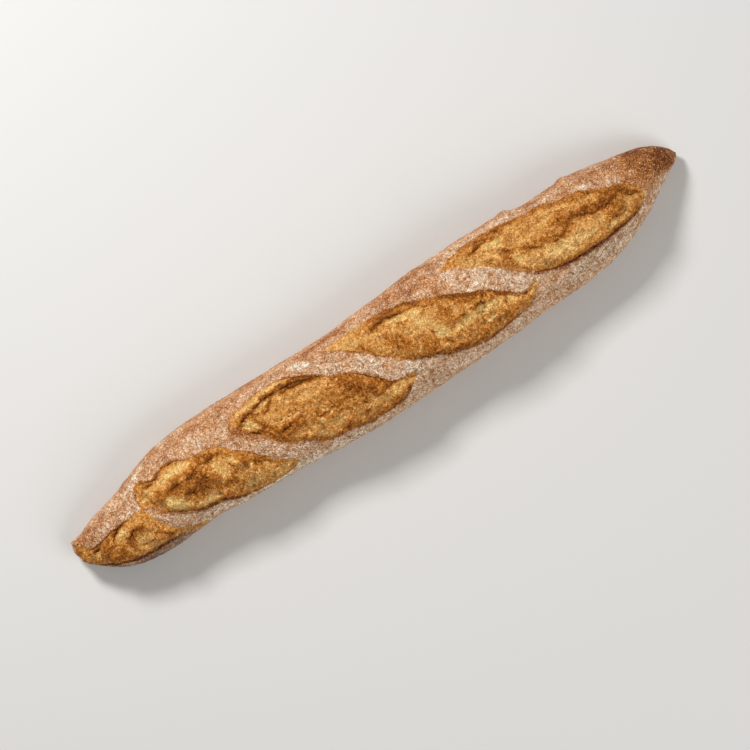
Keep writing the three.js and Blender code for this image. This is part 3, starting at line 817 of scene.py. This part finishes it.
def following_rows(slashes, loops):
    """Rows of points on both sides of the slashes' outlines and cracks."""
    rows = []
    for slash, loop in zip(slashes, loops):
        for offset, row in zip(LIP_ROWS, rows_beside(loop, LIP_ROWS, True)):
            rows.append(row[slash.outline.measure(row)[0] > ROW_CLEARANCE * abs(offset)])
        for _, crack in slash.cracks:
            line = even_points(crack.points, int(length_of(crack.points) / FINE) + 2)
            rows += rows_beside(line, CRACK_ROWS, False)
    return rows


def thinned(points, taken, gap):
    """The points that lie further than gap from the taken ones and from each other."""
    tree = tree_of(taken)
    points = points[[tree.find((p[0], p[1], 0))[2] > gap for p in points]]
    cells = {}
    kept = []
    for i, p in enumerate(points):
        cell = (int(p[0] / gap), int(p[1] / gap))
        around = [cells.get((cell[0] + a, cell[1] + b)) for a in (-1, 0, 1) for b in (-1, 0, 1)]
        if any(q is not None and (q[0] - p[0]) ** 2 + (q[1] - p[1]) ** 2 < gap * gap for q in around):
            continue
        cells[cell] = p
        kept.append(i)
    return points[kept]


def triangles_over(points, edges):
    corners = [Vector((float(x), float(y))) for x, y in points]
    made = geometry.delaunay_2d_cdt(corners, edges, [], 1, 1e-6, False)
    return np.array([tuple(v) for v in made[0]]), np.array(made[2])


def patch_weight(offset, patch):
    """How strongly a patch acts on points at an offset from its middle, with a soft oval edge."""
    _, _, half_length, half_width, turn = patch[:5]
    along, across = turned(offset, turn)
    return np.exp(-(((along / half_length) ** 2 + (across / half_width) ** 2) ** 1.7))


class Surface:
    """What is worked out for each point of the mesh: its height, its sideways lean and its paint."""

    def __init__(self, points, place):
        self.points = points
        self.place = place
        self.height = np.zeros(len(points))
        self.lean = np.zeros((len(points), 2))
        for name in PAINTS:
            setattr(self, name, np.zeros(len(points)))


def shape_skin(surface, skin):
    """Swells, dents, blisters and wrinkles of the whole skin, its floury and browned places, and its
    painted shade.
    """
    at = surface.place
    blister = np.clip(noise(at, 3.4, 6) - 0.35, 0, 1)
    surface.height += layered(at, SKIN_SWELLS) + BLISTER_HEIGHT * blister

    # The near side is flourier than the far side.
    slope = at[:, 1] / HALF_WIDTH
    surface.flour += layered(at, FLOUR_DRIFTS) + NEAR_FLOUR - FLOUR_FALL * smooth((slope + 0.4) / 1.2)
    frayed = surface.points + drift(at, 2.2, 7, 20)
    surface.flour += total_weight(skin, frayed, SKIN_PATCHES) * PATCH_FLOUR
    surface.height += total_weight(skin, surface.points, SKIN_BUMPS)
    # Painted shade, greyish and dark, low on the near side.
    surface.shade = np.clip(total_weight(skin, frayed, PAINTED_SHADE_PATCHES), 0, 1)

    # The stretched skin between the slashes is wrinkled like leather, across its length.
    lie = np.stack(turned(at, WRINKLE_TURN), 1) + drift(at, 1.6, 6, 22)
    surface.height += WRINKLE_HEIGHT * ridged(lie, WRINKLE_SIZE, 24) * smooth(surface.flour + 0.1)


def total_weight(skin, points, patches):
    middles = skin.middles(patches)
    return sum(patch[5] * patch_weight(points - middle, patch) for middle, patch in zip(middles, patches))


def torn_crumb(points, at, slash):
    """Crags, a web of thin walls round shallow pits, creases, and strands that run along one direction."""
    lie = np.stack(turned(points, slash.shape["fibre"]), 1) + drift(at, 3, 9, 40)
    veins = noise(lie, (7, 3.2), 90 + slash.number) + 0.3 * noise(at, 2.2, 91)
    first, second = scattered_cells(at + drift(at, 1.4, 3.4, 80, 3), 3.4, 83)
    return {
        "crags": layered(at, CRAGS),
        "ridges": ridged(at + 3, 4.2, 56),
        "strands": noise(lie, (8, 1.6), 42 + slash.number),
        "walls": 1 - smooth((second - first) / 0.3),
        "pits": smooth((0.5 - first) / 0.5),
        "creases": bell(veins / 0.1) * smooth(noise(at, 7, 92) + 0.6),
        "grit": noise(at, 1.8, 57),
        "stains": noise(at, 2, 58),
    }


def shape_slash(surface, slash):
    near_by = np.flatnonzero(slash.nearby(surface.points))
    p = surface.points[near_by]
    at = surface.place[near_by]
    depth, inward = slash.distance(p)
    from_far, far_share, _, _ = slash.far.measure(p)
    from_near, near_share, _, _ = slash.near.measure(p)
    along = (far_share + near_share) / 2
    across = from_near / np.maximum(from_near + from_far, 1e-6)

    # What the table of each edge says here, and between the edges by how near each is.
    far_lip, far_step, far_line, far_rim = table_at(slash.shape["far_edge"], at[:, 0])
    near_lip, near_step, near_line, near_rim = table_at(slash.shape["near_edge"], at[:, 0])
    far_side = from_far < from_near
    lip = np.where(far_side, far_lip, near_lip) * varied(at, *LIP_VARIES)
    line = np.where(far_side, far_line, near_line) * varied(at, *SEAM_VARIES)
    step = near_step + (far_step - near_step) * across

    # The bulge, which rises from the edges.
    from_end = np.minimum(along, 1 - along) * slash.length
    swell = smooth(from_far / FAR_SLOPE) * smooth(from_near / NEAR_SLOPE) * smooth(from_end / END_SLOPE)
    bulge = -step + (step + BLOOM_RISE) * swell

    # Torn crumb, most lively away from the edges.
    features = torn_crumb(p, at, slash)
    lively = 0.3 + 0.7 * smooth(depth / CALM_MARGIN)
    bulge += lively * sum(CRUMB_FEATURES[name][0] * feature for name, feature in features.items())
    toast = lively * sum(CRUMB_FEATURES[name][1] * feature for name, feature in features.items())
    sway = drift(at, 1.4, 4, 60)
    for middle, patch in slash.patches:
        lift, brown = patch[5:]
        weight = patch_weight(p - middle + sway, patch)
        bulge += lift * weight
        toast += brown * weight
    # Painted shade in the creases.
    at_least(surface.dark, near_by, CREASE_PAINTED_SHADE * features["creases"] * smooth((depth - 1) / 1.5))

    # Small torn holes in the crumb, most of them where it is pale.
    holes = np.clip(noise(at, 2.4, 63) - 0.4 - 0.25 * toast, 0, 0.6) * smooth((depth - 1) / 2)
    bulge -= HOLE_DEPTH * holes
    toast -= HOLE_PALENESS * holes

    # The browned rims beside both edges.
    toast += far_rim * bell(from_far / FAR_RIM_WIDTH) + near_rim * bell(from_near / NEAR_RIM_WIDTH)

    # The crust beside the edges stands up a little, and its edge leans in over the bloom.
    outside = np.minimum(depth, 0)
    beside = lip * np.exp(outside / np.where(far_side, FAR_LIP_FADE, NEAR_LIP_FADE))
    edge = smooth((depth + 0.1) / 0.5)
    surface.height[near_by] = bulge * edge + (surface.height[near_by] + beside) * (1 - edge)
    reach_in = lip * LIP_LEAN * np.exp(outside / LIP_LEAN_FADE) * (depth <= 0.15)
    surface.lean[near_by] += inward * reach_in[:, None]

    paint_slash(surface, near_by, at, depth, toast, line)
    for deep, crack in slash.cracks:
        shape_crack(surface, near_by, deep, crack, at)


def table_at(rows, x):
    """The columns of a table of rows that begin with x, read at x."""
    columns = np.array(rows, float).T
    return [np.interp(x, columns[0], column) for column in columns[1:]]


def paint_slash(surface, near_by, at, depth, toast, line):
    """Colour passes softly from skin to crumb, with a brown seam that is burnt in places, and a painted
    shadow just inside it where it is strong.
    """
    at_least(surface.bloom, near_by, smooth((depth + layered(at, FRAYING) + 1) / 2.2))
    surface.toast[near_by] = np.where(depth > -2.5, toast, surface.toast[near_by])
    seam = bell((depth + 0.1) / (SEAM_WIDTH + SEAM_SPREAD * line))
    at_least(surface.line, near_by, np.clip(line, 0, 1) * seam)
    at_least(surface.burn, near_by, np.clip(line - 0.9, 0, 1) * seam)
    # A painted shadow line just inside strong seams, under the crust's overhanging edge.
    gap = 0.7 * np.clip((line - 0.7) / 0.4, 0, 1) * np.clip(1.9 - line, 0, 1) * bell((depth - 0.35) / 0.5)
    at_least(surface.dark, near_by, gap)


def shape_crack(surface, near_by, deep, line, at):
    """A tear along a line: its far side curls up over a groove on its near side, which has painted shade in
    it.
    """
    gap, share, toward, left = line.measure(surface.points[near_by])
    close = gap < CRACK_REACH
    index = near_by[close]
    gap, share, toward, left, at = gap[close], share[close], toward[close], left[close], at[close]
    taper = np.sin(pi * np.clip(share, 0.02, 0.98)) ** 0.5 * varied(at, *CRACK_VARIES)
    taper = taper * np.clip(varied(at, *CRACK_FADES), 0.25, 1.2)
    beside = (share > 0.001) & (share < 0.999)
    strength = deep * taper * np.where(beside, 1, bell(gap / 1.2))
    surface.height[index] -= strength * np.exp(-gap / GROOVE_FADE) * ~left
    surface.height[index] += CURL_HEIGHT * strength * np.exp(-gap / CURL_FADE) * left
    over = CURL_LEAN * strength * np.exp(-gap / CURL_LEAN_FADE) * left
    surface.lean[index] += toward * over[:, None]
    # Painted shade in the groove under the curled edge.
    dark = bell((gap - 0.35 * deep) / (0.4 + 0.3 * deep)) * ~left * np.clip(strength / 1.7, 0, 1)
    at_least(surface.dark, index, dark)
    surface.toast[index] += CRACK_TOAST * bell(gap / (0.8 + 0.5 * deep)) * np.clip(strength / 1.2, 0, 1)


def standing_points(surface, skin):
    """Where the points come to lie. The loaf stands flat, and its tips keep their place."""
    moved = surface.points + surface.lean
    place = skin.read(skin.table, moved)
    out = unit(skin.read(skin.normal, moved))
    run = surface.points[:, 0]
    tip = smooth(np.minimum(run, skin.total - run) / TIP_FADE)
    place += out * (surface.height * tip * smooth(place[:, 2] / BASE_FADE))[:, None]
    place[:, 2] = np.maximum(place[:, 2], 0)
    place[:, 1] += ACROSS_SHIFT
    return place


def sewn(points, faces, skin):
    """The used points and the faces, after the two rows along the seam underneath become one."""
    seam = np.abs(points[:, 1]) > skin.girth_at(points[:, 0]) - 1e-3
    key = np.round(points[:, 0] * 100).astype(int)
    partner = {key[i]: i for i in np.flatnonzero(seam & (points[:, 1] >= 0))}
    target = np.arange(len(points))
    for i in np.flatnonzero(seam & (points[:, 1] < 0)):
        target[i] = partner.get(key[i], i)
    used, faces = np.unique(target[faces], return_inverse=True)
    faces = faces.reshape(-1, 3)
    a, b, c = faces.T
    return used, faces[(a != b) & (b != c) & (a != c)]


def loaf_mesh():
    skin = Skin()
    slashes = [Slash(skin, shape, number) for number, shape in enumerate(SLASHES)]
    points, faces = triangles_over(*mesh_points(skin, slashes))
    surface = Surface(points, skin.read(skin.table, points))
    shape_skin(surface, skin)
    for slash in slashes:
        shape_slash(surface, slash)
    used, faces = sewn(points, faces, skin)
    mesh = bpy.data.meshes.new("loaf")
    mesh.from_pydata((standing_points(surface, skin)[used] * MM).tolist(), [], faces.tolist())
    for name in PAINTS:
        values = getattr(surface, name)[used].astype(np.float32)
        mesh.attributes.new(name, "FLOAT", "POINT").data.foreach_set("value", values)
    mesh.polygons.foreach_set("use_smooth", [True] * len(mesh.polygons))
    mesh.update()
    return mesh


loaf = bpy.data.objects.new("loaf", loaf_mesh())
bpy.context.scene.collection.objects.link(loaf)


class Nodes:
    """Shader nodes by short calls: each takes values or other nodes' outputs."""

    def __init__(self, material):
        material.use_nodes = True
        self.tree = material.node_tree
        self.shader = self.tree.nodes["Principled BSDF"]

    def put(self, value, socket):
        if isinstance(value, bpy.types.NodeSocket):
            self.tree.links.new(value, socket)
        else:
            socket.default_value = value

    def node(self, kind, inputs, output=0, **settings):
        """An output of a new node, after its settings and inputs are filled in."""
        node = self.tree.nodes.new("ShaderNode" + kind)
        for name, value in settings.items():
            setattr(node, name, value)
        for name, value in inputs.items():
            self.put(value, node.inputs[name])
        return node.outputs[output]

    def attribute(self, name):
        return self.node("Attribute", {}, "Fac", attribute_name=name)

    def place(self):
        return self.node("TexCoord", {}, "Object")

    def noise(self, scale, detail, rough, twist=0, place=None):
        """A noise texture that swings about zero."""
        inputs = {"Vector": place or self.place(), "Scale": scale, "Detail": detail, "Roughness": rough,
                  "Distortion": twist}
        return self.math("SUBTRACT", self.node("TexNoise", inputs, "Fac"), 0.5)

    def math(self, operation, a, b=0.0):
        return self.node("Math", {0: a, 1: b}, operation=operation)

    def total(self, *shares):
        """The sum of values, each times a number."""
        total = 0.0
        for value, weight in shares:
            total = self.math("ADD", self.math("MULTIPLY", value, weight), total)
        return total

    def span(self, value, low, high, to_low=0.0, to_high=1.0, kind="SMOOTHSTEP"):
        inputs = {"Value": value, "From Min": low, "From Max": high, "To Min": to_low, "To Max": to_high}
        return self.node("MapRange", inputs, interpolation_type=kind)

    def ramp(self, value, stops):
        colour = self.node("ValToRGB", {"Fac": value}, "Color")
        ramp = colour.node.color_ramp
        while len(ramp.elements) < len(stops):
            ramp.elements.new(0.5)
        for element, (at, shade) in zip(ramp.elements, stops):
            element.position = at
            element.color = (*shade, 1)
        return colour

    def mix(self, share, a, b, blend="MIX"):
        a, b = (c if isinstance(c, bpy.types.NodeSocket) else (*c, 1) for c in (a, b))
        inputs = {"Factor": share, "A": a, "B": b}
        return self.node("Mix", inputs, "Result", data_type="RGBA", blend_type=blend)


# Colours, as light's shares of red, green and blue.
SKIN_DEEP = (0.20, 0.054, 0.009)
SKIN_BROWN = (0.40, 0.14, 0.035)
SKIN_TAN = (0.64, 0.295, 0.115)
FLOUR = (0.71, 0.497, 0.332)
FLOUR_THICK = (0.84, 0.685, 0.505)
CRUMB_PALE = (0.86, 0.565, 0.20)
CRUMB_GOLD = (0.735, 0.352, 0.092)
CRUMB_TOASTED = (0.51, 0.175, 0.022)
CRUMB_BROWN = (0.25, 0.07, 0.006)
SEAM = (0.30, 0.088, 0.014)
BURNT = (0.25, 0.08, 0.05)
# Painted shade: in cracks, creases and under strong seams, and low on the near side.
PAINTED_GAP_SHADE = (0.15, 0.045, 0.001)
PAINTED_SHADE = (0.11, 0.06, 0.04)

# Noise textures, as features in a metre, detail, roughness and twist.
GRAIN = (560, 1, 0.6, 1.2)
SPECK = (1000, 1, 0.5)
MOTTLE = (240, 2, 0.55, 0.8)
CLOUD = (80, 2, 0.5)
VALLEYS = (150, 1, 0.5, 1)
SWIRLS = (110, 2, 0.6, 1.5)
WINDING = (270, 1, 0.5, 1.2)
FOLDS = (1, 1, 0.5, 0.9)
FOLD_SIZE = (1 / 230, 1 / 100, 1 / 100)
PORES_IN_METRE = 400


def cushion_relief(n):
    """Narrow valleys that wind between little cushions, like the skin of a leaf."""
    valleys = n.math("ABSOLUTE", n.noise(*VALLEYS))
    strength = n.span(n.attribute("flour"), -0.2, 0.9, 0.45, 0.8)
    strength = n.math("MULTIPLY", strength, n.span(n.attribute("bloom"), 0.2, 0.8, 1, 0.45))
    return n.math("MULTIPLY", n.span(valleys, 0, 0.1, -0.7, 0.3), strength)


def fold_relief(n):
    """The fine folds of the skin, where it is stretched and floury."""
    inputs = {"Vector": n.place(), "Rotation": (0, 0, radians(WRINKLE_TURN)), "Scale": FOLD_SIZE}
    lie = n.node("Mapping", inputs, "Vector", vector_type="TEXTURE")
    folds = n.math("ABSOLUTE", n.noise(*FOLDS, lie))
    return n.math("MULTIPLY", n.total((folds, -4), (0.35, 1)), n.span(n.attribute("flour"), -0.2, 0.7))


def crumb_colour(n, mottle, grain):
    """Crumb: pale gold where it tore last, brown where it baked longest."""
    toast = n.total((n.attribute("toast"), 1.35), (n.noise(*SWIRLS), 0.6), (mottle, 0.25), (grain, 0.15))
    stops = [(0, CRUMB_PALE), (0.42, CRUMB_GOLD), (0.7, CRUMB_TOASTED), (1, CRUMB_BROWN)]
    return n.ramp(n.span(toast, -1, 1.2, 0, 1, "LINEAR"), stops)


def crust_material():
    """Floury skin and torn crumb in one material, with fine relief in millimetres, and painted light and
    shade of that relief in its colour.
    """
    material = bpy.data.materials.new("crust")
    n = Nodes(material)
    grain, speck, mottle, cloud = (n.noise(*texture) for texture in (GRAIN, SPECK, MOTTLE, CLOUD))
    pores = n.node("TexVoronoi", {"Vector": n.place(), "Scale": PORES_IN_METRE}, "Distance")
    pores = n.span(pores, 0.1, 0.42, 1, 0)
    wrinkles = n.span(n.math("ABSOLUTE", n.noise(*WINDING)), 0, 0.12, -0.6, 0.4)
    cushions = cushion_relief(n)
    folds = fold_relief(n)
    bloom = n.span(n.total((n.attribute("bloom"), 1), (grain, 0.9)), 0.25, 0.75)

    # Skin: tan to brown, dusted with flour that lies in grains.
    brown = n.total((n.attribute("flour"), -0.5), (cloud, 1.3), (mottle, 0.8), (grain, 0.8), (0.2, 1))
    skin = n.ramp(brown, [(0, SKIN_TAN), (0.5, SKIN_BROWN), (1, SKIN_DEEP)])
    flour = n.total((n.attribute("flour"), 0.9), (mottle, 1.3), (grain, 1.3), (speck, 0.5), (folds, 0.5),
                    (cushions, 0.3), (0.15, 1))
    skin = n.mix(n.span(flour, -0.5, 1.3), skin, FLOUR)
    skin = n.mix(n.span(flour, 0.8, 1.9), skin, FLOUR_THICK)

    # The seams and burnt edges lie over skin and crumb, and so does painted shade: low on the near side,
    # and in the cracks, creases and under strong seams.
    colour = n.mix(bloom, skin, crumb_colour(n, mottle, grain))
    painted_shade_patchiness = n.total((mottle, 1.2), (cloud, 0.9), (0.75, 1))
    stains = [("line", 0.85, SEAM), ("burn", 0.6, BURNT), ("shade", painted_shade_patchiness, PAINTED_SHADE), ("dark", 0.85, PAINTED_GAP_SHADE)]
    for paint, share, stain in stains:
        colour = n.mix(n.math("MULTIPLY", n.attribute(paint), share), colour, stain)

    # Painted light and shade of the fine relief: every grain's top is lighter and whiter than the pits
    # round it, most of all where there is no flour, and the folds, cushions and wrinkles are lit and shaded
    # too.
    bare = n.total((n.span(n.attribute("flour"), -1.2, -0.2, 1, 0), 1), (bloom, -0.1), (1.88, 1))
    grains = n.math("MULTIPLY", n.total((grain, 0.8), (speck, 1.1)), bare)
    light = n.total((grains, 1), (mottle, 0.35), (folds, 0.5), (cushions, 0.6), (wrinkles, 0.3), (0.02, 1))
    colour = n.node("Gamma", {"Color": colour, "Gamma": n.total((light, -0.5), (1, 1))}, "Color")
    colour = n.mix(1, colour, n.total((light, 0.5), (1, 1)), "MULTIPLY")
    n.put(colour, n.shader.inputs["Base Color"])
    n.put(n.span(flour, -0.5, 0.9, 0.5, 0.8), n.shader.inputs["Roughness"])
    n.shader.inputs["Specular IOR Level"].default_value = 0.15
    relief = n.total((mottle, 1.1), (grain, 1.1), (wrinkles, 0.25), (pores, -0.2), (folds, 0.6),
                     (cushions, 0.7))
    bump = n.node("Bump", {"Height": relief, "Distance": MM, "Strength": 1}, "Normal")
    n.put(bump, n.shader.inputs["Normal"])
    return material


loaf.data.materials.append(crust_material())
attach(loaf, "root")
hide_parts("baguette")


# Floor, light and camera. The camera looks straight down, turned as the loaf lies in the picture.
VIEW_TURN = radians(-33.713)
VIEW_MIDDLE = (-9.4, -8.5 + ACROSS_SHIFT)
VIEW_WIDTH = 538.8
VIEW_LEVEL = 18
CAMERA_HEIGHT = 3000
SENSOR = 36

# The studio, in metres; each lamp as its name, place, size and power in watts.
CAMERA_REACH = 10
FLOOR_HALF = 4
FLOOR_COLOUR = (0.72, 0.71, 0.69, 1)
FLOOR_ROUGHNESS = 0.9
LAMPS = [("key", (-0.25, 1.3, 1.2), 0.4, 27), ("fill", (0.6, -1.3, 1.3), 1.2, 15)]
SKY_COLOUR = (1, 0.98, 0.96, 1)
SKY_STRENGTH = 0.26


def add_object(name, data):
    added = bpy.data.objects.new(name, data)
    bpy.context.scene.collection.objects.link(added)
    return added


def add_floor():
    mesh = bpy.data.meshes.new("floor")
    corners = [(FLOOR_HALF * x, FLOOR_HALF * y, 0) for x, y in ((-1, -1), (1, -1), (1, 1), (-1, 1))]
    mesh.from_pydata(corners, [], [(0, 1, 2, 3)])
    floor = add_object("floor", mesh)
    material = bpy.data.materials.new("floor")
    n = Nodes(material)
    n.put(FLOOR_COLOUR, n.shader.inputs["Base Color"])
    n.put(FLOOR_ROUGHNESS, n.shader.inputs["Roughness"])
    mesh.materials.append(material)


def add_lamp(name, place, size, power):
    light = bpy.data.lights.new(name, "AREA")
    light.size = size
    light.energy = power
    lamp = add_object(name, light)
    lamp.location = place
    lamp.rotation_euler = (-Vector(place)).to_track_quat("-Z", "Y").to_euler()


def add_world():
    world = bpy.data.worlds.new("studio")
    world.use_nodes = True
    background = world.node_tree.nodes["Background"]
    background.inputs["Color"].default_value = SKY_COLOUR
    background.inputs["Strength"].default_value = SKY_STRENGTH
    bpy.context.scene.world = world


def add_camera():
    data = bpy.data.cameras.new("camera")
    data.sensor_width = SENSOR
    data.lens = SENSOR * (CAMERA_HEIGHT - VIEW_LEVEL) / VIEW_WIDTH
    data.clip_end = CAMERA_REACH
    camera = add_object("camera", data)
    camera.location = (VIEW_MIDDLE[0] * MM, VIEW_MIDDLE[1] * MM, CAMERA_HEIGHT * MM)
    camera.rotation_euler = (0, 0, VIEW_TURN)
    bpy.context.scene.camera = camera


bpy.context.scene.view_settings.view_transform = "Standard"
add_floor()
for lamp in LAMPS:
    add_lamp(*lamp)
add_world()
add_camera()
